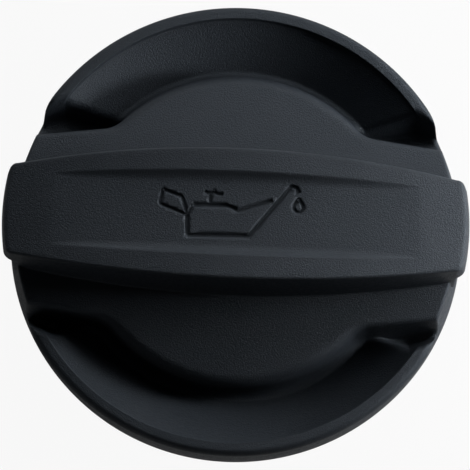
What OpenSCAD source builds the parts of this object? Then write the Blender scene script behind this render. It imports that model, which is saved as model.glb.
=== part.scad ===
// Oil filler cap with an arched grip bar, a welded bayonet neck and a rubber seal.
// The neck's end face stands on z = 0, the axis of the cap is Z and the grip bar runs along X.

/* [Head] */
// Outer radius of the rim
rim_r = 36.3; // [34:0.1:40]
// Height of the skirt below the crest of the rim
skirt_h = 9; // [8.2:0.1:14]
// Width of the rim band between the finger pockets and the outside
rim_w = 1.9; // [1.4:0.1:3]
// Step from the crest of the rim down to the pocket floor
rim_step = 0.8; // [0.4:0.1:1.4]
// Depth of the finger pockets at the foot of the boss
pocket_depth = 6; // [4.5:0.1:7]
// Wall thickness of the moulded head
wall = 2.4; // [1.6:0.1:2.8]

/* [Boss] */
// Radius of the boss at its top edge
boss_r = 25.3; // [24:0.1:27]
// Height of the boss on the centre line above the rim crest
boss_top = 1.3; // [0.5:0.1:2.5]
// Radius of the crown of the boss, which is curved across the bar only
crown_r = 125; // [90:5:200]
// Radius of the rounded top edge of the boss
boss_edge_r = 1.3; // [0.6:0.1:2]
// Draft angle of the boss walls
boss_draft = 10; // [3:1:14]
// Half width of a shoulder at its outer end
shoulder_half = 13.6; // [12.5:0.1:14.5]
// Angle by which the shoulder sides close towards the outside
shoulder_taper = 7.8; // [4:0.2:10]
// Plan radius where a shoulder runs into the round boss
shoulder_fillet = 5; // [3:0.5:8]
// Distance from the centre line to the outer wall of a rim notch, at the crest of the rim
notch_half = 19.4; // [17.5:0.1:21]
// Slope of the outer wall of a rim notch
notch_slope = 72; // [50:1:80]
// Depth of a rim notch at its mouth, below the rim crest
notch_mouth = 3; // [2:0.1:4]

/* [Grip bar] */
// Length of the grip bar
bar_l = 73.2; // [72:0.1:78]
// Half width of the grip bar at the middle of its top
bar_half = 10.4; // [9.5:0.1:11.5]
// Plan radius of the bowed long sides
bar_side_r = 190; // [150:5:260]
// Draft angle of the long sides
bar_draft = 4.5; // [2:0.5:7]
// Height of the top edge at the middle, above the rim crest
bar_top = 10.4; // [9:0.1:13]
// Radius of the arch along the top
bar_arch_r = 205; // [160:5:260]
// Depth of the sunken panel at the middle
panel_depth = 1; // [0.4:0.1:1.4]
// Half length of the sunken panel, from the middle to its fading tips
panel_reach = 28.5; // [24:0.5:31]
// Half width of the panel at its upper edge
panel_half = 6.5; // [5.5:0.1:7]
// Plan radius of the bowed edges of the panel
panel_side_r = 500; // [300:10:900]
// Width of the slope round the panel for one unit of its depth
panel_slope = 1.7; // [1:0.1:2.2]
// Radius of the waist below the overhanging ends of the bar
waist_r = 34.6; // [33.8:0.1:35.2]
// Height of the waist above the rim crest
waist_z = 2.4; // [2:0.1:3.5]
// Radius of the rounded upper edge of the bar ends
end_edge_r = 0.8; // [0.4:0.1:1.2]
// How far a bar end leans out from its upper to its lower edge
end_lean = 0.5; // [0.1:0.1:1]
// Depth of the overhang of a bar end above its waist
overhang_h = 1; // [0.6:0.1:1.5]

/* [Underside] */
// Radius of the hollow that receives the neck
hollow_r = 22.6; // [21:0.1:23]
// Width of the flat ring that the neck flange is welded to
seat_w = 5.4; // [4:0.1:6]
// Thickness of the stiffening ribs
rib_t = 1.6; // [1:0.1:2.2]
// Number of cross ribs in the hollow
cross_ribs = 3; // [1:2:5]
// Distance between the cross ribs
cross_rib_pitch = 11; // [7:0.5:11]
// Number of ribs under each finger pocket
skirt_ribs = 7; // [3:1:9]
// Angle between the ribs under a pocket
skirt_rib_step = 15; // [8:1:15]
// Width of the two keys that stop the neck from turning
key_w = 3; // [2:0.5:5]

/* [Neck] */
// Outer radius of the neck
neck_r = 21; // [19:0.1:21.2]
// Wall thickness of the neck
neck_wall = 2.6; // [1.8:0.1:3.2]
// Length of the neck from its end face to the underside of the flange
neck_l = 15.5; // [14:0.5:22]
// Thickness of the flange that closes the hollow of the head
flange_t = 2.5; // [1.8:0.1:3.5]
// How far the flange reaches past the seal
flange_lip = 0.4; // [0.2:0.1:1]
// Height of the spigot above the flange
spigot_h = 2.8; // [1.5:0.1:3.2]
// Wall thickness of the spigot
spigot_t = 2; // [1.2:0.1:2.6]
// Radial clearance of the spigot in the head
spigot_gap = 0.15; // [0.05:0.05:0.3]
// How far a bayonet lug stands out from the neck
lug_reach = 3.6; // [2.4:0.1:5]
// Height of a bayonet lug
lug_h = 3.2; // [2.4:0.1:4]
// Distance of the lugs from the end face of the neck
lug_z = 3; // [1.5:0.1:4.5]
// Angle that a lug spans
lug_span = 52; // [35:1:70]
// Angle over which the lead-in of a lug rises
lug_lead_in = 18; // [10:1:24]
// Number of bayonet lugs
lug_count = 2; // [2:1:3]
// Slope of the lead-in at the leading end of a lug
lug_ramp = 12; // [6:1:18]
// Chamfer round the end face of the neck
neck_chamfer = 0.8; // [0.3:0.1:1.2]

/* [Seal] */
// Width of the flat body of the seal
seal_w = 5.3; // [4:0.1:6]
// Thickness of the flat body of the seal
seal_t = 2.6; // [2:0.1:3.5]
// Radius of the sealing lip on its lower face
lip_r = 0.7; // [0.4:0.1:1]
// Radial clearance of the seal round the neck
seal_gap = 0.1; // [0.05:0.05:0.3]

/* [Hidden] */
$fn = 180;
plastic = "#1d2024";
neck_plastic = "#191b1e";
seal_rubber = "#101112";

// Small overlap that makes joined forms one solid
lap = 0.5;
// A cutter reaches this far past what it cuts
past = 2;
// Small bevels, steps and roundings that moulded edges have
break_edge = 0.1;
small_bevel = 0.5;

// Heights, with the crest of the rim as the level of the head
flange_top = neck_l + flange_t;
rim_z = flange_top + skirt_h;

// Skirt and pocket floor
bead_proud = 0.15;
bead_flat = 0.3;
bead_drop = 0.05;
skirt_r = rim_r - bead_proud;
skirt_chamfer = 0.3;
skirt_in_r = skirt_r - wall;
groove_draft = 0.2;
pocket_out_r = rim_r - rim_w - break_edge;
boss_clear = 0.4;
pocket_in_r = boss_r + boss_edge_r + boss_clear;
pocket_rise = (pocket_depth - rim_step) / (pocket_out_r - pocket_in_r);
floor_drop = wall / cos(atan(pocket_rise));
seat_r = hollow_r + seat_w;

// Foot of the bar and of the boss, inside the disc, and the flare above it
foot_sunk = 0.6;
boss_foot = pocket_depth + foot_sunk;
flare_h = 2;
flare_z = flare_h - boss_foot;
// Fall of the notch floor towards the boss, and of the crown over half a shoulder
notch_fall = 0.25;
crown_fall = 0.7;

// Panel arch: it crosses the arch of the bar at the tips of the panel
panel_top = bar_top - panel_depth;
panel_fall = panel_reach * panel_reach / (2 * bar_arch_r) - panel_depth;
panel_arch_r = panel_reach * panel_reach / (2 * panel_fall);

// The keys reach down between the cut sides of the spigot, and the ribs end above it
key_gap = 0.2;
key_z = key_gap - skirt_h;
rib_gap = 0.5;
// Ribs under the pockets end above the flange
skirt_rib_gap = 1;
// Radius over the lugs, and the bevel on their lower edges
lug_r = neck_r + lug_reach;
lug_lead = 1;
// Outer radii of the seal and of the flange that covers it
seal_r = neck_r + seal_gap + seal_w;
flange_r = seal_r + flange_lip;

// Bar ends
bar_end_r = bar_l / 2;
bar_end_top_z = bar_top - bar_end_r * bar_end_r / (2 * bar_arch_r);
overhang_z = waist_z + overhang_h;
overhang_edge = 0.3;
top_slope = 13;
flare_drop = waist_z + notch_mouth;
flare_out = skirt_r - waist_r;
flare_r = (flare_drop * flare_drop + flare_out * flare_out) / (2 * flare_out);

// Steps of the rounded edges and of the outline of the boss
round_steps = 4;
fillet_steps = 6;
arc_steps = 20;
end_steps = 6;

function crown(y) = boss_top - y * y / (2 * crown_r);
function pocket_floor(r) = -rim_step - (pocket_out_r - r) * pocket_rise;
function steps(n) = [for (i = [0:n]) i / n];

// Outline of one quarter of the boss, as [x, y, angle of the outward normal]
end_x = rim_r + past;
line_normal = 90 - shoulder_taper;
line_n = [cos(line_normal), sin(line_normal)];
line_d = [sin(line_normal), -cos(line_normal)];
line_at = line_n * [waist_r, shoulder_half];
fillet_off = line_at + shoulder_fillet;
fillet_along = sqrt(pow(boss_r + shoulder_fillet, 2) - fillet_off * fillet_off);
fillet_c = fillet_off * line_n + fillet_along * line_d;
arc_from = atan2(fillet_c.y, fillet_c.x);
line_start = fillet_c - shoulder_fillet * line_n;
line_len = (end_x - line_start.x) / line_d.x;
end_y = (line_start + line_len * line_d).y;

quarter = concat(
    [for (t = steps(end_steps)) if (t > 0 && t < 1) [end_x, end_y * t, 0]],
    [for (t = steps(2)) let (p = line_start + (1 - t) * line_len * line_d) [p.x, p.y, line_normal]],
    [for (t = steps(fillet_steps))
        let (a = line_normal + (arc_from - line_normal) * t) if (t > 0)
        [fillet_c.x - shoulder_fillet * cos(a), fillet_c.y - shoulder_fillet * sin(a), a]],
    [for (t = steps(arc_steps))
        let (a = arc_from + (90 - arc_from) * t) if (t > 0 && t < 1)
        [boss_r * cos(a), boss_r * sin(a), a]]
);

// The whole outline runs anticlockwise, with one point on each axis
function turned_back(q) = [for (i = [len(q) - 1:-1:0]) q[i]];
outline = concat(
    [[end_x, 0, 0]],
    quarter,
    [[0, boss_r, 90]],
    [for (p = turned_back(quarter)) [-p.x, p.y, 180 - p[2]]],
    [[-end_x, 0, 180]],
    [for (p = quarter) [-p.x, -p.y, 180 + p[2]]],
    [[0, -boss_r, 270]],
    [for (p = turned_back(quarter)) [p.x, -p.y, 360 - p[2]]]
);

// Rounded top edge of the boss, as [outward, height above the crown]
edge_section = [for (t = steps(round_steps))
    let (a = t * (90 - boss_draft))
    [boss_edge_r * (sin(a) - 1), boss_edge_r * (cos(a) - 1)]];

// One ring of the boss that follows the crown
function crown_ring(s) = [for (p = outline)
    let (q = [p.x + s.x * cos(p[2]), p.y + s.x * sin(p[2])])
    [q.x, q.y, crown(q.y) + s.y]];

// One level ring of the boss, further out by the draft and by a flare at the foot
function level_ring(z, flare) = [for (p = outline)
    let (out = (crown(p.y) - boss_edge_r - z) * tan(boss_draft) + flare)
    [p.x + out * cos(p[2]), p.y + out * sin(p[2]), z]];

// Crowned boss with its two shoulders, lofted through rings of the same outline
module boss() {
    n = len(outline);
    rings = concat(
        [for (s = edge_section) crown_ring(s)],
        [level_ring(flare_z, 0)],
        [level_ring(flare_z - flare_h / 2, flare_h / 3)],
        [level_ring(-boss_foot, flare_h)]
    );
    skin = [for (k = [0:len(rings) - 2], i = [0:n - 1], half = [0, 1])
        let (a = k * n + i, b = k * n + (i + 1) % n)
        half == 0 ? [a, b, b + n] : [a, b + n, a + n]];
    polyhedron(
        points = [for (r = rings) each r],
        faces = concat(skin, ruled_cap(n, 0, false), ruled_cap(n, (len(rings) - 1) * n, true)),
        convexity = 4
    );
}

// Faces that close a ring of n points by strips along X, from each point to the one opposite
function ruled_cap(n, first, below) = [for (i = [-n / 4:n / 4 - 1])
    let (
        right = [(i + n) % n, (i + 1 + n) % n],
        left = [n / 2 - i, n / 2 - i - 1],
        strip = i == -n / 4 ? [left[1], right[1], right[0]]
            : i == n / 4 - 1 ? [left[0], right[1], right[0]]
            : [left[0], left[1], right[1], right[0]],
        turned = below ? turned_back(strip) : strip
    )
    [for (k = turned) first + k]];

// Round body that a side of the bar is cut from: its radius grows towards the foot by the draft
module side_cone(radius, z_top, side) {
    z_low = -boss_foot;
    z_high = bar_top + past;
    slope = tan(bar_draft);
    translate([0, -side * (bar_side_r - bar_half), z_low])
        cylinder(
            h = z_high - z_low,
            r1 = radius + (z_top - z_low) * slope,
            r2 = radius - (z_high - z_top) * slope
        );
}

// Solid between the two bowed sides and under an arch, set in from the outer skin
module arched_bar(inset, top, arch) {
    intersection() {
        side_cone(bar_side_r - inset, bar_top, 1);
        side_cone(bar_side_r - inset, bar_top, -1);
        translate([0, 0, top - arch])
            rotate([90, 0, 0])
                cylinder(h = 4 * bar_half, r = arch, center = true);
    }
}

// Space above the floor of the sunken panel, with sloping sides
module panel_cut() {
    cut_h = panel_depth + past;
    difference() {
        intersection_for(side = [-1, 1]) {
            translate([0, -side * (panel_side_r - panel_half), panel_top - past])
                cylinder(
                    h = cut_h + past,
                    r1 = panel_side_r - panel_slope * (panel_depth + past),
                    r2 = panel_side_r + panel_slope * past
                );
        }
        translate([0, 0, panel_top - panel_arch_r])
            rotate([90, 0, 0])
                cylinder(h = 4 * bar_half, r = panel_arch_r, center = true);
    }
}

// Turned outline of the ends of the bar and of the shoulders below them
module end_envelope() {
    flare = [for (t = steps(round_steps + 2))
        let (drop = flare_drop * (1 - t))
        [waist_r + flare_r - sqrt(flare_r * flare_r - drop * drop), waist_z - drop]];
    edge_c = [bar_end_r - end_lean - end_edge_r, bar_end_top_z - end_edge_r];
    edge = [for (t = steps(round_steps))
        let (a = t * (90 - top_slope))
        [edge_c.x + end_edge_r * cos(a), edge_c.y + end_edge_r * sin(a)]];
    tip = edge[round_steps];
    rotate_extrude()
        polygon(concat(
            [[0, -boss_foot - past], [skirt_r, -boss_foot - past]],
            flare,
            [
                [bar_end_r - break_edge, overhang_z - break_edge],
                [bar_end_r, overhang_z + overhang_edge]
            ],
            edge,
            [[0, tip.y + tip.x * tan(top_slope)]]
        ));
}

// Round disc of the head before its underside is hollowed: skirt, rim and pocket floors
module disc_blank() {
    bead_r = rim_w - bead_flat;
    bead = [for (t = steps(round_steps))
        let (a = 90 * t)
        [rim_r - bead_r + bead_r * cos(a), -bead_r + bead_r * sin(a)]];
    rotate_extrude()
        polygon(concat(
            [
                [hollow_r, -skirt_h],
                [skirt_r - skirt_chamfer, -skirt_h],
                [skirt_r, -skirt_h + skirt_chamfer]
            ],
            bead,
            [
                [rim_r - rim_w, -bead_drop],
                [pocket_out_r, -rim_step],
                [pocket_in_r, -pocket_depth],
                [hollow_r, -pocket_depth]
            ]
        ));
}

// Open groove between the skirt and the ring that the neck is welded to
module skirt_groove() {
    top_r = skirt_in_r - groove_draft;
    difference() {
        rotate_extrude()
            polygon([
                [seat_r, -skirt_h - past],
                [seat_r, pocket_floor(seat_r) - floor_drop],
                [top_r, pocket_floor(top_r) - floor_drop],
                [skirt_in_r, -skirt_h],
                [skirt_in_r, -skirt_h - past]
            ]);
        gate_wedge(wall);
        mirror([1, 0, 0]) gate_wedge(wall);
    }
}

// Space over the sloping floor and between the sloping walls of the two notches beside a shoulder,
// grown by the thickness of a wall for the shell around it
module gate_wedge(grow) {
    inner_x = hollow_r - 3;
    outer_x = skirt_r + past;
    floor_x = skirt_r - (pocket_depth - notch_mouth) / notch_fall;
    depth = pocket_depth + grow + past;
    top_half = notch_half + grow / sin(notch_slope);
    intersection() {
        rotate([90, 0, 0])
            linear_extrude(4 * rim_r, center = true)
                polygon([
                    [outer_x, past * notch_fall - notch_mouth - grow],
                    [outer_x, past],
                    [inner_x, past],
                    [inner_x, -pocket_depth - grow],
                    [floor_x, -pocket_depth - grow]
                ]);
        rotate([90, 0, 90])
            linear_extrude(4 * rim_r, center = true)
                polygon([
                    [top_half + past / tan(notch_slope), past],
                    [-top_half - past / tan(notch_slope), past],
                    [depth / tan(notch_slope) - top_half, -depth],
                    [top_half - depth / tan(notch_slope), -depth]
                ]);
    }
}

// The disc with its underside hollowed and the rim cut through beside the shoulders
module disc() {
    difference() {
        disc_blank();
        skirt_groove();
        gate_wedge(0);
        mirror([1, 0, 0]) gate_wedge(0);
    }
}

// Hollow under the boss and inside the bar, open to the neck
module hollow() {
    difference() {
        union() {
            translate([0, 0, -skirt_h - past])
                cylinder(h = skirt_h + past - wall, r = hollow_r);
            intersection() {
                translate([0, 0, -skirt_h - past])
                    cylinder(h = skirt_h + bar_top + past, r = hollow_r);
                arched_bar(wall, panel_top - wall, panel_arch_r - wall);
            }
        }
        hollow_ribs();
    }
}

// Cross ribs and the long rib that stiffen the head above the spigot
module hollow_ribs() {
    rib_z = spigot_h + rib_gap - skirt_h;
    span = 2 * hollow_r + past;
    for (i = [0:cross_ribs - 1]) {
        translate([(i - (cross_ribs - 1) / 2) * cross_rib_pitch - rib_t / 2, -span / 2, rib_z])
            cube([rib_t, span, bar_top - rib_z]);
    }
    translate([-span / 2, -rib_t / 2, rib_z])
        cube([span, rib_t, bar_top - rib_z]);
    for (side = [-1, 1]) {
        translate([-key_w / 2, side * (hollow_r - spigot_t / 2) - spigot_t / 2, key_z])
            cube([key_w, spigot_t, bar_top - key_z]);
    }
}

// Deep core outside the seat ring, under each end of the bar and its shoulder
module end_hollow() {
    end_wall = waist_r - wall;
    core_top = boss_top - crown_fall - wall;
    intersection() {
        difference() {
            translate([0, 0, -skirt_h - past])
                cylinder(h = skirt_h + bar_top + past, r = end_wall);
            translate([0, 0, -skirt_h - 2 * past])
                cylinder(h = skirt_h + bar_top + 3 * past, r = seat_r);
        }
        union() {
            arched_bar(wall, panel_top - wall, panel_arch_r - wall);
            translate([-rim_r, wall - shoulder_half, -skirt_h - past])
                cube([2 * rim_r, 2 * (shoulder_half - wall), skirt_h + past + core_top]);
        }
    }
}

// Ribs between the seat ring and the skirt, under both finger pockets
module skirt_rib_set() {
    intersection() {
        for (side = [0, 180], i = [0:skirt_ribs - 1]) {
            rotate(side + 90 + (i - (skirt_ribs - 1) / 2) * skirt_rib_step)
                translate([seat_r - lap, -rib_t / 2, skirt_rib_gap - skirt_h])
                    cube([skirt_in_r - seat_r + 2 * lap, rib_t, skirt_h - skirt_rib_gap - rim_step - lap]);
        }
        rotate_extrude()
            polygon([
                [seat_r - lap, -skirt_h],
                [skirt_in_r + lap, -skirt_h],
                [skirt_in_r + lap, pocket_floor(skirt_in_r + lap) - floor_drop / 2],
                [seat_r - lap, pocket_floor(seat_r - lap) - floor_drop / 2]
            ]);
    }
}

module cap_head() {
    color(plastic)
        translate([0, 0, rim_z])
            difference() {
                union() {
                    disc();
                    skirt_rib_set();
                    intersection() {
                        difference() {
                            union() {
                                boss();
                                arched_bar(0, bar_top, bar_arch_r);
                            }
                            panel_cut();
                        }
                        end_envelope();
                    }
                }
                hollow();
                end_hollow();
            }
}

// Lug with a lead-in ramp at the end that enters the filler neck first
module lug() {
    translate([0, 0, lug_z])
        difference() {
            rotate_extrude(angle = lug_span, start = -lug_span / 2)
                polygon([
                    [neck_r - lap, 0],
                    [lug_r - lug_lead, 0],
                    [lug_r, lug_lead],
                    [lug_r, lug_h],
                    [neck_r - lap, lug_h]
                ]);
            rotate(lug_span / 2 - lug_lead_in)
                translate([neck_r - past, 0, lug_h])
                    rotate([-lug_ramp, 0, 0])
                        cube([2 * past + lug_r - neck_r, lug_r, lug_h]);
        }
}

module bayonet_neck() {
    in_r = neck_r - neck_wall;
    spigot_r = hollow_r - spigot_gap;
    color(neck_plastic)
        difference() {
            union() {
                rotate_extrude()
                    polygon([
                        [in_r, 0],
                        [neck_r - neck_chamfer, 0],
                        [neck_r, neck_chamfer],
                        [neck_r, neck_l],
                        [flange_r, neck_l],
                        [flange_r, flange_top],
                        [spigot_r, flange_top],
                        [spigot_r, flange_top + spigot_h - small_bevel],
                        [spigot_r - small_bevel, flange_top + spigot_h],
                        [spigot_r - spigot_t, flange_top + spigot_h],
                        [spigot_r - spigot_t, flange_top],
                        [0, flange_top],
                        [0, neck_l],
                        [in_r, neck_l]
                    ]);
                for (i = [0:lug_count - 1]) rotate(i * 360 / lug_count) lug();
            }
            for (side = [-1, 1]) {
                translate([0, side * spigot_r, flange_top + spigot_h / 2])
                    cube([key_w + 2 * spigot_gap, 2 * spigot_t + past, spigot_h + lap], center = true);
            }
        }
}

// Flat rubber ring with a half-round lip on its sealing face
module seal_ring() {
    in_r = neck_r + seal_gap;
    color(seal_rubber)
        translate([0, 0, neck_l - seal_t])
            rotate_extrude()
                union() {
                    translate([in_r, 0]) square([seal_r - in_r, seal_t]);
                    translate([(in_r + seal_r) / 2, 0]) circle(r = lip_r);
                }
}

cap_head();
bayonet_neck();
seal_ring();
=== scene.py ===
import math

import bmesh
import bpy
import numpy as np
from mathutils import Matrix, Vector
from mathutils.geometry import delaunay_2d_cdt


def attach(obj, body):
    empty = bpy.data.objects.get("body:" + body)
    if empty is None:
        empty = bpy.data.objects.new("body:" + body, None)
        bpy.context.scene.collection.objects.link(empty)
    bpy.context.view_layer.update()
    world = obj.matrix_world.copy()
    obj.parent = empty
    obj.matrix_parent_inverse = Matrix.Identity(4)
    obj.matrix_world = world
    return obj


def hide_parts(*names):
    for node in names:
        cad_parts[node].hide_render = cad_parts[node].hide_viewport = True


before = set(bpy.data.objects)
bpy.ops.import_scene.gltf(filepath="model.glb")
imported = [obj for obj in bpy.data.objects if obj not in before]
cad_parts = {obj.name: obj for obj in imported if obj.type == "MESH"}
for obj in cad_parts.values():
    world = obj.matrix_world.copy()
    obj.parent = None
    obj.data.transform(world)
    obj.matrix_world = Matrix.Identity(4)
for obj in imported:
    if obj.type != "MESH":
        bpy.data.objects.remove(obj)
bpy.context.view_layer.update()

# Sizes in millimetres. Heights are above the crest of the rim, which lies RIM_Z above the neck's end.
MM = 0.001
RIM_Z = 27.0

# Rim, skirt and finger pockets
RIM_R = 36.28
SKIRT_R = 36.13
BEAD_IN_R = 34.25
POCKET_OUT_R = 34.15
BEAD_W = 1.0
BEAD_H = 1.2
BEAD_ROOT_DROP = 0.04
RIM_STEP = 0.8
POCKET_IN_R = 27.0
POCKET_DEPTH = 6.0
SKIRT_H = 9.0
SKIRT_CHAMFER = 0.3

# Boss and shoulders
BOSS_R = 25.17
BOSS_TOP = 1.3
CROWN_R = 125.0
BOSS_EDGE_R = 1.6
SHOULDER_EDGE_R = 0.7
BOSS_DRAFT = math.radians(10)
BOSS_FOOT_R = 1.3
SHOULDER_HALF = 13.53
SHOULDER_TAPER = math.radians(7.8)
SHOULDER_FILLET = 5.0
END_DRAFT = math.radians(8.6)
END_EDGE_LOW_R = 0.4

# The upper edge tightens from the boss to its shoulders over this stretch along the bar
EDGE_CHANGE_X = 14.0
EDGE_CHANGE_LENGTH = 9.0

# The outline of the boss is taken this far below its top
OUTLINE_DROP = 1.3

# Cosines of the slopes of surfaces that meet in a rounding
RIM_COS = 0.9
NOTCH_FLOOR_COS = 0.97
CROWN_COS = 0.995
SHOULDER_TOP_COS = 0.99
POCKET_COS = 0.85

# Notches through the rim beside the shoulders
NOTCH_MOUTH = 3.8
NOTCH_FALL = 0.36
NOTCH_CORNER_X = 28.0
NOTCH_HALF_FAR = 19.9
NOTCH_HALF_NEAR = 18.6
NOTCH_LEAN_NEAR = 0.2
NOTCH_END_SLANT = 0.38
NOTCH_WALL_SLOPE = math.radians(73)
NOTCH_EDGE_R = 0.8
NOTCH_FOOT_R = 1.0
NOTCH_LIP_R = 0.4

# Grip bar
BAR_HALF = 10.34
BAR_SIDE_R = 190.0
BAR_DRAFT = math.radians(4.5)
BAR_TOP = 10.4
BAR_ARCH_R = 205.0
BAR_END_R = 36.1
BAR_CORNER_R = 1.3
SIDE_EDGE_R = 0.45
END_EDGE_R = 0.8
WAIST_R = 34.6
WAIST_Z = 2.4

# Section of the bar's ends: heights, and distances outside its upper edge
END_SECTION = [
    (6.0, 0.12), (5.0, 0.25), (4.2, 0.4), (3.85, 0.46), (3.65, 0.47), (3.5, 0.42), (3.4, 0.3),
    (3.2, -0.15), (2.9, -0.75), (2.65, -1.2), (2.5, -1.42), (2.35, -1.5), (1.2, -1.5), (-2.0, -1.5),
]

# Drafted ends of the head, below the waist: the rim starts beyond them
END_MOUTH_R = WAIST_R + (WAIST_Z + NOTCH_MOUTH) * math.tan(END_DRAFT)
END_CLEAR_FAR = 14.2
END_CLEAR_NEAR = 13.6
END_BLEND = 6.5

# Sunken panel of the bar
PANEL_DEPTH = 1.0
PANEL_REACH = 28.5
PANEL_HALF = 6.5
PANEL_SIDE_R = 500.0
PANEL_FILLET = 1.95
PANEL_CREST_R = 0.3

# Oil can pictogram, as lines on the panel
GROOVE_R = 0.37
FINE_GROOVE_R = 0.29
GROOVE_LIFT = 0.07
HANDLE = [(-11.4, 3.5), (-11.8, 1.2), (-7.5, -0.4), (-8.4, 2.5), (-11.4, 3.5)]
CAN_BODY = [(-7.5, -0.4), (-7.3, -3.6), (2.2, -3.4), (8.4, 4.7), (9.2, 4.6), (9.6, 3.7)]
CAN_TOP = [(-6.7, 1.2), (-1.6, 1.3), (-0.7, 1.05), (0.3, 0.5), (0.9, 0.75), (5.7, 2.4)]
CAN_NECK = [(-7.5, -0.4), (-6.7, 1.2)]
FILLER_LEFT = [(-4.9, 3.5), (-4.5, 3.1), (-3.8, 3.15), (-3.5, 3.4)]
FILLER_RIGHT = [(-3.5, 3.4), (-3.0, 3.05), (-2.0, 3.05)]
FILLER_STEM = [(-4.1, 3.1), (-4.0, 1.6)]
DROP = [
    (9.6, 2.8), (8.95, 1.75), (8.9, 1.2), (9.35, 0.7),
    (9.95, 0.7), (10.4, 1.25), (10.3, 1.8), (9.6, 2.8),
]
PICTOGRAM = [
    (HANDLE, FINE_GROOVE_R), (CAN_BODY, GROOVE_R), (CAN_TOP, GROOVE_R), (CAN_NECK, FINE_GROOVE_R),
    (FILLER_LEFT, FINE_GROOVE_R), (FILLER_RIGHT, FINE_GROOVE_R), (FILLER_STEM, FINE_GROOVE_R),
    (DROP, FINE_GROOVE_R),
]
DRAWN_STEP = 0.35
TOOL_STEP = 0.3
TOOL_SIDES = 14

# Mesh of the head's disc: points round it, radii of its rings, and radii of the points on its bead
TURN_POINTS = 760
RING_RADII = [
    33.8, 34.05, 34.15, 34.18, 34.215, 34.25, 34.35, 34.55, 34.66, 34.74, 34.82, 34.9, 35.0, 35.15,
]
BEAD_RADII = [35.36, 35.5, 35.65, 35.8, 35.92, 36.02, 36.1, 36.17, 36.22, 36.26]
BEAD_POINT_GAP = 0.015

# Mesh lines along the wall of the boss, by their distance outside its outline
BOSS_LINES = [
    -2.3, -2.0, -1.8, -1.6, -1.4, -1.2, -0.95, -0.72, -0.52, -0.36, -0.23, -0.13, -0.05, 0.02,
    *np.arange(0.1, 1.15, 0.09), 1.25, 1.4, 1.6, 1.85, 2.1, 2.45, 2.9,
]
BOSS_POINT_STEP = 0.55
BOSS_OUTLINE_PAST = 1.0
BOSS_LINES_END_GAP = 0.05

# Mesh lines along the foot of the bar, by their distance outside it
FOOT_LINES = (-0.3, 0.3, 0.8)
FOOT_REACH = 32.5
FOOT_POINTS = 170

# Close points in the notches: their stretch and step along the bar, and rows beside the outer wall
NOTCH_STRETCH = (19.3, 32.5, 0.22)
NOTCH_ROWS = [*np.arange(-3.0, 1.3, 0.13), *np.arange(-6.5, -3.0, 0.3)]
NOTCH_POINT_GAP = 0.1

# Points over the rest of the disc, in rows that lie closer than the points in them
ROW_PITCH = 0.87
PLAIN_ROWS = 36
PLAIN_STEP = 0.8
PLAIN_REACH = 33.6
PLAIN_GAP = 0.4

# Mesh rings of the skirt, by their drop below its upper edge
SKIRT_RINGS = (0.6, 3.0)

# Mesh of the bar's outline: points on a quarter of its end, corner and side, and rings of its edge
END_POINTS = 20
CORNER_POINTS = 9
SIDE_POINTS = 92
EDGE_RINGS = 9
EDGE_GAP = 0.05
CORNER_START_X = 34.0
CORNER_TRIES = 30

# Mesh of the bar's upper side: lines as shares of the slope into the panel, and points between them
PANEL_LINES = (
    -0.3, -0.2, -0.13, -0.07, -0.02, 0.03, 0.08, 0.14, 0.22, 0.32, 0.45, 0.58, 0.72, 0.86, 1.0,
)
PANEL_POINTS = 150
CAP_ROWS = 10.5
CAP_STEP = 0.6
CAP_GAP = 0.3
CAP_HALF = 10.0

# The block that the hollow underside is taken from ends within the skirt's wall. Its skin lies
# CORE_DEPTH under the lowest place of the head's upper side within CORE_REACHES of each point.
CORE_R = 34.95
CORE_RINGS = 58
CORE_TURNS = 300
CORE_DEPTH = 0.9
CORE_REACHES = (0.0, 0.6, 1.2)
CORE_BEARINGS = 12
CORE_BELOW = 0.3

# The solid's lower face, up to this far above its lowest point, is lowered to pass the block
FACE_BAND = 0.01
SOLID_BELOW = 0.7

# Points closer than this become one: in the solid's mesh, in plan, and after the cuts
JOIN_GAP = 1e-4
PLAN_GAP = 1e-5
WELD = 0.006

# Edges sharper than this, in degrees, stay sharp in the shading
SHARP_ANGLE = 32

# Camera of the photograph: bearing and tilt, distance, and how far its aim lies left of and below
# the middle of the rim
CAMERA_TURN = math.radians(2.35)
CAMERA_TILT = math.radians(12.3)
CAMERA_AWAY = 450
CAMERA_AIM_LEFT = 0.095
CAMERA_AIM_DOWN = 1.26
CAMERA_LENS = 218.6
CAMERA_SENSOR = 36

# Floor, in metres
FLOOR_SIZE = 6.0
FLOOR_Z = -0.0001
FLOOR_GREY = (0.25, 0.25, 0.25, 1)
FLOOR_ROUGHNESS = 0.8

# Share of plain white that the camera sees on the floor, over its own shading
FLOOR_WHITE_SHARE = 0.93

# Share of that white that shiny surfaces see, so that the wall of the skirt stays dark as in the photo
SHEEN_WHITE_SHARE = 0.15

# Strength of the even light all round
WORLD_STRENGTH = 0.02

# Lamps: bearing and height in degrees, distance and width in metres, and power in watts
LAMPS = {
    "side_window": (34, 20, 0.17, 0.11, 0.27),
    "far_window": (82, 38, 0.2, 0.12, 0.17),
    "right_window": (3, 12, 0.15, 0.035, 0.34),
    "left_fill": (118, 12, 0.8, 0.25, 1.8),
    "near_fill": (240, 8, 0.8, 0.3, 0.5),
}


def crown(y):
    """Height of the boss, which is curved across the bar only."""
    return BOSS_TOP - y * y / (2 * CROWN_R)


def arch(x):
    """Height of the bar's upper edge along the bar."""
    return BAR_TOP - x * x / (2 * BAR_ARCH_R)


def bar_half(x):
    """Half width of the bar at its upper edge."""
    return BAR_HALF - x * x / (2 * BAR_SIDE_R)


def panel_depth(x):
    """Depth of the sunken panel, which runs out to nothing at both tips."""
    return np.maximum(PANEL_DEPTH * (1 - (x / PANEL_REACH) ** 2), 0.0)


def panel_edge(x):
    """Distance of the panel's upper edge from the middle line."""
    return PANEL_HALF - x * x / (2 * PANEL_SIDE_R)


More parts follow.
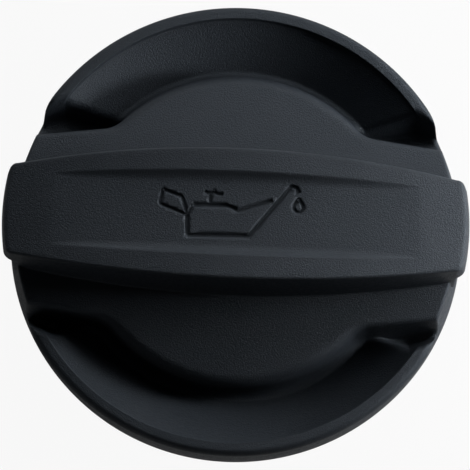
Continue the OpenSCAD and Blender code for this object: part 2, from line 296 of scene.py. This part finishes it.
def panel_width(depth):
    """Width of the hollowed slope from the edge of the panel to its floor."""
    return np.sqrt(np.maximum(2 * PANEL_FILLET * depth - depth * depth, 0.0))


def bar_top(x, y):
    """Height of the bar's upper side: the arch, less the sunken panel with its hollowed edges."""
    depth = panel_depth(x)
    into = panel_edge(x) - np.abs(y)
    from_floor = np.clip(panel_width(depth) - into, 0.0, PANEL_FILLET)
    rise = PANEL_FILLET - np.sqrt(np.maximum(PANEL_FILLET**2 - from_floor**2, 0.0))
    top = arch(x)
    slope = 1 - depth / PANEL_FILLET
    crest = PANEL_CREST_R * depth / PANEL_DEPTH
    return np.where(into > -panel_width(depth), rounded(top, 1.0, top - depth + rise, slope, crest), top)


def eased(t):
    """Share that starts and ends gently as t goes from 0 to 1."""
    return t * t * (3 - 2 * t)


def filled(a, ca, b, cb, r):
    """Upper of two surfaces, with the valley between them filled to radius r.

    ca and cb are the cosines of their slopes.
    """
    pa, pb = r + ca * a, r + cb * b
    k = ca * ca + cb * cb
    h = ca * pa + cb * pb
    disc = h * h - k * (pa * pa + pb * pb - r * r)
    z = (h - np.sqrt(np.maximum(disc, 0.0))) / k
    da, db = ca * (z - a), cb * (z - b)
    ok = (disc >= 0) & (da >= 0) & (da <= r) & (db >= 0) & (db <= r)
    return np.where(ok, np.maximum(z, np.maximum(a, b)), np.maximum(a, b))


def rounded(a, ca, b, cb, r):
    """Lower of two surfaces, with the edge between them rounded to radius r."""
    return -filled(-a, ca, -b, cb, r)


# Outline of the boss in one quarter: round boss, hollow fillet, straight shoulder side
side_n = np.array([math.sin(SHOULDER_TAPER), math.cos(SHOULDER_TAPER)])
side_t = np.array([math.cos(SHOULDER_TAPER), -math.sin(SHOULDER_TAPER)])
side_off = float(side_n @ np.array([WAIST_R, SHOULDER_HALF]))
fillet_off = side_off + SHOULDER_FILLET
fillet_c = fillet_off * side_n + math.sqrt((BOSS_R + SHOULDER_FILLET) ** 2 - fillet_off**2) * side_t
arc_from = math.atan2(fillet_c[1], fillet_c[0])
side_from = fillet_c - SHOULDER_FILLET * side_n


def boss_distance(x, y):
    """Distance outside the outline of the boss and its shoulders, less than nothing inside."""
    x, y = np.abs(x), np.abs(y)
    ux, uy = x - fillet_c[0], y - fillet_c[1]
    a = BOSS_R * np.array([math.cos(arc_from), math.sin(arc_from)]) - fillet_c
    b = side_from - fillet_c
    turn = a[0] * b[1] - a[1] * b[0]
    in_cone = (
        ((a[0] * uy - a[1] * ux) * turn >= 0)
        & ((ux * b[1] - uy * b[0]) * turn >= 0)
        & (ux * (a[0] + b[0]) + uy * (a[1] + b[1]) > 0)
    )
    plain = np.minimum(np.hypot(x, y) - BOSS_R, x * side_n[0] + y * side_n[1] - side_off)
    return np.where(in_cone, SHOULDER_FILLET - np.hypot(ux, uy), plain)


def end_share(y):
    """How much of the rim is left at y: all of it beside the pockets, none at the notches and shoulders."""
    out = (np.abs(y) - np.where(y > 0, END_CLEAR_FAR, END_CLEAR_NEAR)) / END_BLEND
    return eased(np.clip(out, 0.0, 1.0))


def top_radius(y):
    """Outer radius of the head's upper side."""
    return END_MOUTH_R + (RIM_R - END_MOUTH_R) * end_share(y)


def boss_edge_radius(x):
    """The upper edge is widely rounded on the round boss and tighter along its shoulders."""
    t = np.clip((np.abs(x) - EDGE_CHANGE_X) / EDGE_CHANGE_LENGTH, 0.0, 1.0)
    return BOSS_EDGE_R + (SHOULDER_EDGE_R - BOSS_EDGE_R) * eased(t)


def rim_profile(r, y):
    """Pocket floor, step and rounded bead of the rim."""
    rise = (POCKET_DEPTH - RIM_STEP) / (POCKET_OUT_R - POCKET_IN_R)
    floor = np.maximum(-RIM_STEP - (POCKET_OUT_R - r) * rise, -POCKET_DEPTH)
    t = np.clip((r - (top_radius(y) - BEAD_W)) / BEAD_W, 0.0, 1.0)
    bead = -BEAD_H * (1 - np.sqrt(np.maximum(1 - t * t, 0.0)))
    step = eased(np.clip((r - POCKET_OUT_R) / (BEAD_IN_R - POCKET_OUT_R), 0.0, 1.0))
    root = -BEAD_ROOT_DROP * step
    return floor * (1 - step) * (r < BEAD_IN_R) + np.where(r >= BEAD_IN_R, bead, root)


def notch_half(x, y):
    """Distance from the middle line to the outer wall of a notch, at the crest of the rim."""
    out = np.abs(x) - NOTCH_CORNER_X
    near = NOTCH_HALF_NEAR + NOTCH_LEAN_NEAR * np.minimum(out, 0.0)
    return np.where(y > 0, NOTCH_HALF_FAR, near) - NOTCH_END_SLANT * np.maximum(out, 0.0)


def notch_floor(x, y):
    """Floor of the notches, which falls towards the boss and rounds over at its mouth."""
    over = np.maximum(np.hypot(x, y) - (END_MOUTH_R - NOTCH_LIP_R), 0.0)
    return -NOTCH_MOUTH - NOTCH_FALL * (SKIRT_R - np.abs(x)) - over**2 / (2 * NOTCH_LIP_R)


def base_height(x, y):
    """Height of the disc of the head: rim, pockets, notches, boss and shoulders."""
    r = np.hypot(x, y)
    wall_slope = math.cos(NOTCH_WALL_SLOPE)
    wall = (np.abs(y) - notch_half(x, y)) * math.tan(NOTCH_WALL_SLOPE)
    floor = rounded(rim_profile(r, y), RIM_COS, wall, wall_slope, NOTCH_EDGE_R)
    floor = filled(floor, wall_slope, notch_floor(x, y), NOTCH_FLOOR_COS, NOTCH_FOOT_R)
    top = crown(y)
    side = top - OUTLINE_DROP - boss_distance(x, y) / math.tan(BOSS_DRAFT)
    boss = rounded(top, CROWN_COS, side, math.sin(BOSS_DRAFT), boss_edge_radius(x))
    end = WAIST_Z - (r - WAIST_R) / math.tan(END_DRAFT)
    boss = rounded(boss, SHOULDER_TOP_COS, end, math.sin(END_DRAFT), END_EDGE_LOW_R)
    return filled(boss, math.sin(BOSS_DRAFT), floor, POCKET_COS, BOSS_FOOT_R)


def with_mirror(quarter):
    """A quarter of an outline, as points and normals, followed by its mirror image across x = 0."""
    q = np.array(quarter)
    mirrored = np.column_stack([-q[::-1, 0], q[::-1, 1], math.pi - q[::-1, 2]])[1:]
    return np.vstack([q, mirrored])


def boss_outline(step):
    """Far and near half of the boss's outline, as points and outward normals."""
    quarter = []
    reach = SKIRT_R + BOSS_OUTLINE_PAST
    length = (reach - side_from[0]) / side_t[0]
    side_a = math.pi / 2 - SHOULDER_TAPER
    for along in np.linspace(length, 0, int(length / step) + 1):
        quarter.append((*(side_from + along * side_t), side_a))
    for a in np.linspace(side_a, arc_from, int(abs(arc_from - side_a) * SHOULDER_FILLET / step) + 2)[1:]:
        x = fillet_c[0] - SHOULDER_FILLET * math.cos(a)
        quarter.append((x, fillet_c[1] - SHOULDER_FILLET * math.sin(a), a))
    for a in np.linspace(arc_from, math.pi / 2, int((math.pi / 2 - arc_from) * BOSS_R / step) + 2)[1:]:
        quarter.append((BOSS_R * math.cos(a), BOSS_R * math.sin(a), a))
    far = with_mirror(quarter)
    return far, np.column_stack([far[:, 0], -far[:, 1], -far[:, 2]])


def mesh_from(name, verts, faces):
    """New object with the given mesh."""
    mesh = bpy.data.meshes.new(name)
    mesh.from_pydata([tuple(v) for v in verts], [], [tuple(f) for f in faces])
    mesh.validate()
    obj = bpy.data.objects.new(name, mesh)
    bpy.context.scene.collection.objects.link(obj)
    return obj


def triangulated(points, edges, ring):
    """Triangles over points in plan that keep the given edges, within the ring of the first points."""
    out = delaunay_2d_cdt([Vector(p) for p in points], edges, [], 0, PLAN_GAP, True)
    xy = np.array([tuple(v) for v in out[0]])
    source = {i: k for k, ids in enumerate(out[3]) for i in ids if i < ring}
    loop = [source[i] for i in range(ring)]
    fence = {(loop[(i + 1) % ring], loop[i]) for i in range(ring)}
    faces = [tuple(f) for f in out[2]]
    owner = {(a, b): k for k, f in enumerate(faces) for a, b in zip(f, f[1:] + f[:1])}
    outside = {owner[e] for e in fence if e in owner}
    todo = list(outside)
    while todo:
        f = faces[todo.pop()]
        for a, b in zip(f, f[1:] + f[:1]):
            k = owner.get((b, a))
            if (a, b) not in fence and k is not None and k not in outside:
                outside.add(k)
                todo.append(k)
    return xy, [f for k, f in enumerate(faces) if k not in outside], loop


def spaced(points, keep_from, gap):
    """The points that are at least a gap away from those in keep_from."""
    cells = {}
    for p in keep_from:
        cells.setdefault((int(p[0] // gap), int(p[1] // gap)), []).append(p)
    kept = []
    for p in points:
        i, j = int(p[0] // gap), int(p[1] // gap)
        close = any(
            (q[0] - p[0]) ** 2 + (q[1] - p[1]) ** 2 < gap * gap
            for di in (-1, 0, 1)
            for dj in (-1, 0, 1)
            for q in cells.get((i + di, j + dj), ())
        )
        if not close:
            kept.append(tuple(p))
    return kept


def rows_of(x_from, x_to, y_from, y_to, step):
    """Points in even rows, every second row shifted by half a step."""
    xs = np.arange(x_from, x_to, step)
    ys = np.arange(y_from, y_to, step * ROW_PITCH)
    return [(x + (0.5 * step if k % 2 else 0.0), y) for k, y in enumerate(ys) for x in xs]


def stitched(upper, lower):
    """Triangles of the band between two rings of as many vertices."""
    faces = []
    for i in range(len(upper)):
        j = (i + 1) % len(upper)
        faces += [(upper[j], upper[i], lower[i]), (upper[j], lower[i], lower[j])]
    return faces


def make_base():
    """Closed solid of the head's disc with its boss, meshed along the edges of its forms."""
    points, edges = [], []

    def run(line, closed):
        first = len(points)
        points.extend(tuple(p) for p in line)
        n = len(line)
        edges.extend((first + i, first + i + 1) for i in range(n - 1))
        if closed:
            edges.append((first + n - 1, first))

    turn = np.linspace(0, 2 * math.pi, TURN_POINTS, endpoint=False)
    edge_r = top_radius(np.sin(turn) * RIM_R)
    run(np.column_stack([edge_r * np.cos(turn), edge_r * np.sin(turn)]), True)
    for r in RING_RADII:
        run(np.column_stack([r * np.cos(turn), r * np.sin(turn)]), True)
    for r in BEAD_RADII:
        inside = top_radius(r * np.sin(turn)) > r + BEAD_POINT_GAP
        points.extend((r * math.cos(t), r * math.sin(t)) for t in turn[inside])
    for half in boss_outline(BOSS_POINT_STEP):
        for out in BOSS_LINES:
            line = half[:, :2] + out * np.column_stack([np.cos(half[:, 2]), np.sin(half[:, 2])])
            run(line[np.hypot(line[:, 0], line[:, 1]) < END_MOUTH_R - BOSS_LINES_END_GAP], False)
    xs = np.linspace(-FOOT_REACH, FOOT_REACH, FOOT_POINTS)
    foot = bar_half(xs) + (arch(xs) - SIDE_EDGE_R - crown(BAR_HALF)) * math.tan(BAR_DRAFT)
    for side in (-1, 1):
        for out in FOOT_LINES:
            run(np.column_stack([xs, side * (foot + out)]), False)

    in_notches = []
    for side in (-1, 1):
        for out in NOTCH_ROWS:
            xs = np.arange(*NOTCH_STRETCH)
            ys = side * (notch_half(xs, side) + out)
            in_notches += [(end * x, y) for x, y in zip(xs, ys) for end in (-1, 1)]
    in_notches = [
        p for p in in_notches
        if math.hypot(*p) < top_radius(p[1]) - NOTCH_POINT_GAP and NOTCH_POINT_GAP < float(boss_distance(*p))
    ]
    in_notches = spaced(in_notches, points, NOTCH_POINT_GAP)
    rows = rows_of(-PLAIN_ROWS, PLAIN_ROWS, -PLAIN_ROWS, PLAIN_ROWS, PLAIN_STEP)
    elsewhere = [p for p in rows if math.hypot(*p) < PLAIN_REACH]
    elsewhere = spaced(elsewhere, points + in_notches, PLAIN_GAP)

    xy, faces, loop = triangulated(points + in_notches + elsewhere, edges, TURN_POINTS)
    z = base_height(xy[:, 0], xy[:, 1])
    verts = [(p[0], p[1], h) for p, h in zip(xy, z)]
    upper_z = np.array([verts[k][2] for k in loop])
    rings = [(upper_z - drop, 0.0) for drop in SKIRT_RINGS]
    rings.append((np.full(len(loop), -SKIRT_H + SKIRT_CHAMFER), 0.0))
    rings.append((np.full(len(loop), -SKIRT_H), SKIRT_CHAMFER))
    previous = loop
    for lows, chamfer in rings:
        first = len(verts)
        for k, low in zip(loop, lows):
            x, y = verts[k][:2]
            ends = min(WAIST_R + (WAIST_Z - low) * math.tan(END_DRAFT), SKIRT_R)
            share = float(end_share(y))
            scale = (ends + (SKIRT_R - ends) * share - chamfer) / math.hypot(x, y)
            verts.append((x * scale, y * scale, low))
        ring = list(range(first, len(verts)))
        faces += stitched(previous, ring)
        previous = ring
    faces.append(tuple(reversed(previous)))
    return mesh_from("head_disc", verts, faces)


def bar_outline():
    """Outline of the bar's upper edge in plan, as points and outward normals."""
    c = BAR_CORNER_R
    x_c = CORNER_START_X
    for _ in range(CORNER_TRIES):
        nx = x_c / BAR_SIDE_R
        y_c = bar_half(x_c) - c * math.sqrt(1 - nx * nx)
        x_c = math.sqrt((BAR_END_R - c) ** 2 - y_c**2)
    centre = np.array([x_c, y_c])
    end_a = math.atan2(centre[1], centre[0])
    side_a = math.pi / 2 - math.asin(min(x_c / BAR_SIDE_R, 1))
    quarter = []
    for a in np.linspace(0, end_a, END_POINTS)[:-1]:
        quarter.append((BAR_END_R * math.cos(a), BAR_END_R * math.sin(a), a))
    for a in np.linspace(end_a, side_a, CORNER_POINTS):
        quarter.append((centre[0] + c * math.cos(a), centre[1] + c * math.sin(a), a))
    corner_x = quarter[-1][0]
    for x in np.linspace(corner_x, 0, SIDE_POINTS)[1:]:
        quarter.append((x, bar_half(x), math.pi / 2 - x / BAR_SIDE_R))
    far = with_mirror(quarter)
    near = np.column_stack([far[::-1, 0], -far[::-1, 1], -far[::-1, 2]])[1:-1]
    return np.vstack([far, near])


def make_bar():
    """Closed solid of the grip bar, with its foot sunk into the boss."""
    line = bar_outline()
    n = len(line)
    nx, ny = np.cos(line[:, 2]), np.sin(line[:, 2])
    end = nx * nx
    rings = []
    for a in np.linspace(0, math.pi / 2, EDGE_RINGS):
        o_side, o_end = SIDE_EDGE_R * (math.sin(a) - 1), END_EDGE_R * (math.sin(a) - 1)
        drop = (1 - math.cos(a)) * (SIDE_EDGE_R + (END_EDGE_R - SIDE_EDGE_R) * end)
        out = o_side + (o_end - o_side) * end
        x, y = line[:, 0] + out * nx, line[:, 1] + out * ny
        rings.append(np.column_stack([x, y, arch(x) - drop]))
    edge_z = rings[-1][:, 2]
    for z, o_end in END_SECTION:
        z_here = np.minimum(z, edge_z - EDGE_GAP)
        o_side = (edge_z - z_here) * math.tan(BAR_DRAFT)
        out = o_side + (o_end - o_side) * end
        rings.append(np.column_stack([line[:, 0] + out * nx, line[:, 1] + out * ny, z_here]))
    top = rings[0]

    points = [tuple(p[:2]) for p in top]
    edges = [(i, (i + 1) % n) for i in range(n)]
    xs = np.linspace(-PANEL_REACH, PANEL_REACH, PANEL_POINTS)
    for side in (-1, 1):
        for share in PANEL_LINES:
            y = side * (panel_edge(xs) - share * panel_width(panel_depth(xs)))
            first = len(points)
            points.extend(zip(xs, y))
            edges.extend((first + i, first + i + 1) for i in range(len(xs) - 1))
    fill = [
        p for p in rows_of(-PLAIN_ROWS, PLAIN_ROWS, -CAP_ROWS, CAP_ROWS, CAP_STEP)
        if abs(p[1]) < CAP_HALF - p[0] ** 2 / (2 * BAR_SIDE_R) - CAP_GAP
        and math.hypot(*p) < BAR_END_R - END_EDGE_R - CAP_GAP
    ]
    fill = spaced(fill, points, CAP_GAP)
    xy, cap, loop = triangulated(points + fill, edges, n)
    z = bar_top(xy[:, 0], xy[:, 1])
    verts = [tuple(q) for p in rings for q in p]
    index = {k: i for i, k in enumerate(loop)}
    for k, (p, h) in enumerate(zip(xy, z)):
        if k not in index:
            index[k] = len(verts)
            verts.append((p[0], p[1], h))
    faces = [tuple(index[i] for i in f) for f in cap]
    bands = [range(k * n, (k + 1) * n) for k in range(len(rings))]
    for upper, lower in zip(bands, bands[1:]):
        faces += stitched(upper, lower)
    faces.append(tuple(reversed(bands[-1])))
    return mesh_from("grip_bar", verts, faces)


def combined(target, other, operation):
    """Joins or cuts one closed mesh with another and drops the tool."""
    mod = target.modifiers.new("cut", "BOOLEAN")
    mod.operation = operation
    mod.solver = "MANIFOLD"
    mod.object = other
    dg = bpy.context.evaluated_depsgraph_get()
    mesh = bpy.data.meshes.new_from_object(target.evaluated_get(dg))
    target.modifiers.remove(mod)
    old = target.data
    target.data = mesh
    bpy.data.meshes.remove(old)
    bpy.data.objects.remove(other)
    return target


def merged_copy(node, name):
    """A copy of a node's mesh in millimetres from the rim's crest, with its loose triangles joined."""
    obj = bpy.data.objects.new(name, node.data.copy())
    bpy.context.scene.collection.objects.link(obj)
    bm = bmesh.new()
    bm.from_mesh(obj.data)
    from_rim = Matrix.Translation((0, 0, -RIM_Z)) @ Matrix.Scale(1 / MM, 4)
    bmesh.ops.transform(bm, matrix=from_rim, verts=bm.verts)
    bmesh.ops.remove_doubles(bm, verts=bm.verts, dist=JOIN_GAP)
    bm.to_mesh(obj.data)
    bm.free()
    return obj


def make_core():
    """Closed block whose skin lies inside the walls of the head, all round its hollow underside."""
    radii = np.linspace(0, CORE_R, CORE_RINGS + 1)[1:]
    turn = np.linspace(0, 2 * math.pi, CORE_TURNS, endpoint=False)
    rr, tt = np.meshgrid(radii, turn, indexing="ij")
    x = np.append(0.0, (rr * np.cos(tt)).ravel())
    y = np.append(0.0, (rr * np.sin(tt)).ravel())
    lowest = np.full(len(x), np.inf)
    for reach in CORE_REACHES:
        for a in np.linspace(0, 2 * math.pi, CORE_BEARINGS, endpoint=False):
            px, py = x + reach * math.cos(a), y + reach * math.sin(a)
            in_bar = (np.abs(py) < bar_half(px)) & (np.hypot(px, py) < WAIST_R)
            lowest = np.minimum(lowest, np.where(in_bar, bar_top(px, py), base_height(px, py)))
    verts = list(zip(x, y, lowest - CORE_DEPTH))
    outermost = verts[-CORE_TURNS:]
    verts += [(px, py, -SKIRT_H - CORE_BELOW) for px, py, _ in outermost]
    starts = [1 + k * CORE_TURNS for k in range(CORE_RINGS + 1)]
    faces = [(0, 1 + i, 1 + (i + 1) % CORE_TURNS) for i in range(CORE_TURNS)]
    for a, b in zip(starts, starts[1:]):
        for i in range(CORE_TURNS):
            j = (i + 1) % CORE_TURNS
            faces += [(a + i, b + i, b + j), (a + i, b + j, a + j)]
    faces.append(tuple(reversed(range(starts[-1], starts[-1] + CORE_TURNS))))
    return mesh_from("core", verts, faces)


def make_hollow():
    """Everything hollow under the head, taken from the solid's own underside."""
    solid = merged_copy(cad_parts["cap_head"], "underside")
    for v in solid.data.vertices:
        if v.co.z < -SKIRT_H + FACE_BAND:
            v.co.z -= SOLID_BELOW
    return combined(make_core(), solid, "DIFFERENCE")


def groove_tree():
    """Geometry nodes that run a round tool along a drawn line."""
    tree = bpy.data.node_groups.new("engraved_line", "GeometryNodeTree")
    tree.interface.new_socket("Line", in_out="INPUT", socket_type="NodeSocketGeometry")
    radius = tree.interface.new_socket("Tool radius", in_out="INPUT", socket_type="NodeSocketFloat")
    spacing = tree.interface.new_socket("Point spacing", in_out="INPUT", socket_type="NodeSocketFloat")
    finish = tree.interface.new_socket("Finish", in_out="INPUT", socket_type="NodeSocketMaterial")
    tree.interface.new_socket("Tool path", in_out="OUTPUT", socket_type="NodeSocketGeometry")
    add = tree.nodes.new
    given, made = add("NodeGroupInput"), add("NodeGroupOutput")
    to_curve, even = add("GeometryNodeMeshToCurve"), add("GeometryNodeResampleCurve")
    circle, sweep = add("GeometryNodeCurvePrimitiveCircle"), add("GeometryNodeCurveToMesh")
    whole, paint = add("GeometryNodeRealizeInstances"), add("GeometryNodeSetMaterial")
    even.mode = "LENGTH"
    circle.inputs["Resolution"].default_value = TOOL_SIDES
    sweep.inputs["Fill Caps"].default_value = True
    link = tree.links.new
    link(given.outputs["Line"], to_curve.inputs["Mesh"])
    link(to_curve.outputs["Curve"], even.inputs["Curve"])
    link(given.outputs["Point spacing"], even.inputs["Length"])
    link(even.outputs["Curve"], sweep.inputs["Curve"])
    link(given.outputs["Tool radius"], circle.inputs["Radius"])
    link(circle.outputs["Curve"], sweep.inputs["Profile Curve"])
    link(sweep.outputs["Mesh"], whole.inputs["Geometry"])
    link(whole.outputs["Geometry"], paint.inputs["Geometry"])
    link(given.outputs["Finish"], paint.inputs["Material"])
    link(paint.outputs["Geometry"], made.inputs["Tool path"])
    return tree, radius.identifier, spacing.identifier, finish.identifier


def engrave(target, lines, finish):
    """Cuts each drawn line into the target with a round tool that follows its upper side."""
    tree, radius_id, spacing_id, finish_id = groove_tree()
    for line, tool_r in lines:
        drawn = []
        for (px, py), (qx, qy) in zip(line, line[1:]):
            count = max(int(math.dist((px, py), (qx, qy)) / DRAWN_STEP), 1)
            drawn += [(px + (qx - px) * t / count, py + (qy - py) * t / count) for t in range(count)]
        drawn.append(line[-1])
        xy = np.array(drawn)
        z = bar_top(xy[:, 0], xy[:, 1]) + tool_r * GROOVE_LIFT
        path = bpy.data.meshes.new("drawn_line")
        path.from_pydata(
            [tuple(p) for p in np.column_stack([xy, z])],
            [(i, i + 1) for i in range(len(xy) - 1)],
            [],
        )
        tool = bpy.data.objects.new("drawn_line", path)
        bpy.context.scene.collection.objects.link(tool)
        mod = tool.modifiers.new("engraved_line", "NODES")
        mod.node_group = tree
        mod[radius_id] = tool_r
        mod[spacing_id] = TOOL_STEP
        mod[finish_id] = finish
        dg = bpy.context.evaluated_depsgraph_get()
        swept = bpy.data.meshes.new_from_object(tool.evaluated_get(dg))
        tool.modifiers.remove(mod)
        tool.data = swept
        combined(target, tool, "DIFFERENCE")
    return target


def finished(obj, name):
    """Brings a piece from millimetres into the frame and smooths its shading between its edges."""
    bm = bmesh.new()
    bm.from_mesh(obj.data)
    bmesh.ops.remove_doubles(bm, verts=bm.verts, dist=WELD)
    bmesh.ops.dissolve_degenerate(bm, edges=bm.edges, dist=WELD)
    bm.to_mesh(obj.data)
    bm.free()
    obj.data.transform(Matrix.Scale(MM, 4) @ Matrix.Translation((0, 0, RIM_Z)))
    obj.name = name
    obj.data.name = name
    obj.data.shade_smooth()
    obj.data.set_sharp_from_angle(angle=math.radians(SHARP_ANGLE))
    return obj


class Recipe:
    """Short ways to lay out the nodes of one material."""

    def __init__(self, name):
        self.mat = bpy.data.materials.new(name)
        self.mat.use_nodes = True
        self.nodes = self.mat.node_tree.nodes
        self.shader = self.nodes["Principled BSDF"]
        self.place = self.nodes.new("ShaderNodeTexCoord").outputs["Object"]

    def join(self, a, b):
        self.mat.node_tree.links.new(a, b)

    def noise(self, scale, detail, rough=0.5):
        node = self.nodes.new("ShaderNodeTexNoise")
        self.join(self.place, node.inputs["Vector"])
        node.inputs["Scale"].default_value = scale
        node.inputs["Detail"].default_value = detail
        node.inputs["Roughness"].default_value = rough
        return node.outputs["Fac"]

    def between(self, factor, low, high, to_low, to_high):
        node = self.nodes.new("ShaderNodeMapRange")
        self.join(factor, node.inputs["Value"])
        limits = {"From Min": low, "From Max": high, "To Min": to_low, "To Max": to_high}
        for key, value in limits.items():
            node.inputs[key].default_value = value
        return node.outputs["Result"]

    def colours(self, factor, *stops):
        node = self.nodes.new("ShaderNodeValToRGB")
        ramp = node.color_ramp.elements
        while len(ramp) < len(stops):
            ramp.new(0.5)
        for element, (at, colour) in zip(ramp, stops):
            element.position = at
            element.color = (*colour, 1.0)
        self.join(factor, node.inputs["Fac"])
        return node.outputs["Color"]

    def bump(self, height, distance, strength):
        node = self.nodes.new("ShaderNodeBump")
        node.inputs["Distance"].default_value = distance
        node.inputs["Strength"].default_value = strength
        self.join(height, node.inputs["Height"])
        return node.outputs["Normal"]


def grained_plastic():
    """Black glass-filled nylon off a spark-eroded tool: fine pitted grain, soft sheen, faint tone changes."""
    m = Recipe("grained_black_nylon")
    tone = m.noise(90, 3.0)
    black = m.colours(tone, (0.3, (0.0105, 0.0135, 0.0175)), (0.7, (0.0135, 0.0165, 0.021)))
    m.join(black, m.shader.inputs["Base Color"])
    grain = m.noise(4600, 3.0, 0.65)
    m.join(m.between(m.noise(1500, 2.0), 0.3, 0.7, 0.46, 0.6), m.shader.inputs["Roughness"])
    m.join(m.bump(grain, 0.00015, 1.0), m.shader.inputs["Normal"])
    m.shader.inputs["Specular IOR Level"].default_value = 0.25
    m.shader.inputs["Specular Tint"].default_value = (0.8, 0.9, 1.0, 1.0)
    return m.mat


def moulded_plastic():
    """The neck's nylon: the same black, smooth from a polished tool, with faint flow marks."""
    m = Recipe("smooth_black_nylon")
    flow = m.noise(160, 3.0)
    black = m.colours(flow, (0.3, (0.018, 0.019, 0.022)), (0.7, (0.026, 0.028, 0.031)))
    m.join(black, m.shader.inputs["Base Color"])
    m.join(m.between(m.noise(400, 2.0), 0.3, 0.7, 0.32, 0.45), m.shader.inputs["Roughness"])
    m.join(m.bump(m.noise(1200, 2.0), 0.00002, 0.5), m.shader.inputs["Normal"])
    return m.mat


def seal_rubber():
    """Black rubber of the sealing ring: dull, with a dusting of bloom."""
    m = Recipe("seal_rubber")
    bloom = m.noise(300, 3.0)
    black = m.colours(bloom, (0.35, (0.014, 0.014, 0.015)), (0.75, (0.03, 0.03, 0.031)))
    m.join(black, m.shader.inputs["Base Color"])
    m.join(m.between(bloom, 0.3, 0.7, 0.6, 0.8), m.shader.inputs["Roughness"])
    m.join(m.bump(m.noise(2500, 2.0), 0.00003, 0.5), m.shader.inputs["Normal"])
    return m.mat


nylon = grained_plastic()
neck_nylon = moulded_plastic()
rubber = seal_rubber()

bar = engrave(make_bar(), PICTOGRAM, nylon)
head = combined(make_base(), bar, "UNION")
head = combined(head, make_hollow(), "DIFFERENCE")
head = finished(head, "moulded_head")
head.data.materials.clear()
head.data.materials.append(nylon)
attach(head, "root")
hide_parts("cap_head")

for node, finish in (("bayonet_neck", neck_nylon), ("seal_ring", rubber)):
    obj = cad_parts[node]
    obj.data.materials.clear()
    obj.data.materials.append(finish)


def white_stage():
    """Pale floor that shows as plain white to the camera and still takes a little of the cap's shadow."""
    bpy.ops.mesh.primitive_plane_add(size=FLOOR_SIZE, location=(0, 0, FLOOR_Z))
    floor = bpy.context.object
    floor.name = "floor"
    mat = bpy.data.materials.new("white_table")
    mat.use_nodes = True
    nodes, links = mat.node_tree.nodes, mat.node_tree.links
    shader, out = nodes["Principled BSDF"], nodes["Material Output"]
    shader.inputs["Base Color"].default_value = FLOOR_GREY
    shader.inputs["Roughness"].default_value = FLOOR_ROUGHNESS
    path = nodes.new("ShaderNodeLightPath")
    white, both = nodes.new("ShaderNodeEmission"), nodes.new("ShaderNodeMixShader")
    white.inputs["Strength"].default_value = 1.0

    def calculation(operation):
        node = nodes.new("ShaderNodeMath")
        node.operation = operation
        return node

    seen, either = calculation("MAXIMUM"), calculation("MAXIMUM")
    share, sheen = calculation("MULTIPLY"), calculation("MULTIPLY")
    share.inputs[1].default_value = FLOOR_WHITE_SHARE
    sheen.inputs[1].default_value = SHEEN_WHITE_SHARE
    links.new(path.outputs["Is Glossy Ray"], sheen.inputs[0])
    links.new(path.outputs["Is Camera Ray"], seen.inputs[0])
    links.new(sheen.outputs[0], seen.inputs[1])
    links.new(seen.outputs[0], either.inputs[0])
    links.new(path.outputs["Is Transmission Ray"], either.inputs[1])
    links.new(either.outputs[0], share.inputs[0])
    links.new(share.outputs[0], both.inputs["Fac"])
    links.new(shader.outputs["BSDF"], both.inputs[1])
    links.new(white.outputs["Emission"], both.inputs[2])
    links.new(both.outputs["Shader"], out.inputs["Surface"])
    floor.data.materials.append(mat)


def world_light(strength):
    """Faint even light all round, which the camera sees as plain white."""
    world = bpy.data.worlds.new("studio")
    bpy.context.scene.world = world
    world.use_nodes = True
    nodes, links = world.node_tree.nodes, world.node_tree.links
    back = nodes["Background"]
    back.inputs["Color"].default_value = (1, 1, 1, 1)
    back.inputs["Strength"].default_value = strength
    white = nodes.new("ShaderNodeBackground")
    white.inputs["Color"].default_value = (1, 1, 1, 1)
    white.inputs["Strength"].default_value = 1.0
    path = nodes.new("ShaderNodeLightPath")
    mix = nodes.new("ShaderNodeMixShader")
    links.new(path.outputs["Is Camera Ray"], mix.inputs["Fac"])
    links.new(back.outputs["Background"], mix.inputs[1])
    links.new(white.outputs["Background"], mix.inputs[2])
    links.new(mix.outputs["Shader"], nodes["World Output"].inputs["Surface"])


def soft_lamp(name, around, above, away, size, watts):
    """Square lamp that faces the cap from the given bearing, height and distance, in degrees and metres."""
    a, e = math.radians(around), math.radians(above)
    towards = Vector((math.cos(a) * math.cos(e), math.sin(a) * math.cos(e), math.sin(e)))
    data = bpy.data.lights.new(name, "AREA")
    data.shape = "SQUARE"
    data.size = size
    data.energy = watts
    lamp = bpy.data.objects.new(name, data)
    bpy.context.scene.collection.objects.link(lamp)
    lamp.location = Vector((0, 0, RIM_Z * MM)) + away * towards
    lamp.rotation_euler = (-towards).to_track_quat("-Z", "Y").to_euler()


def photo_camera():
    """Camera high over the near side of the cap, as in the photograph."""
    c, s = math.cos(CAMERA_TURN), math.sin(CAMERA_TURN)
    c_tilt, s_tilt = math.cos(CAMERA_TILT), math.sin(CAMERA_TILT)
    right = Vector((c, s, 0))
    up = Vector((-s * c_tilt, c * c_tilt, s_tilt))
    back = Vector((s * s_tilt, -c * s_tilt, c_tilt))
    aim = Vector((0, 0, RIM_Z)) - CAMERA_AIM_LEFT * right - CAMERA_AIM_DOWN * up
    at = (aim + CAMERA_AWAY * back) * MM
    data = bpy.data.cameras.new("camera")
    data.lens = CAMERA_LENS
    data.sensor_width = CAMERA_SENSOR
    data.clip_start = 0.01
    cam = bpy.data.objects.new("camera", data)
    bpy.context.scene.collection.objects.link(cam)
    cam.matrix_world = Matrix((
        (right[0], up[0], back[0], at[0]),
        (right[1], up[1], back[1], at[1]),
        (right[2], up[2], back[2], at[2]),
        (0, 0, 0, 1),
    ))
    bpy.context.scene.camera = cam


white_stage()
world_light(WORLD_STRENGTH)
for lamp_name, lamp_place in LAMPS.items():
    soft_lamp(lamp_name, *lamp_place)
photo_camera()
bpy.context.scene.view_settings.view_transform = "Standard"
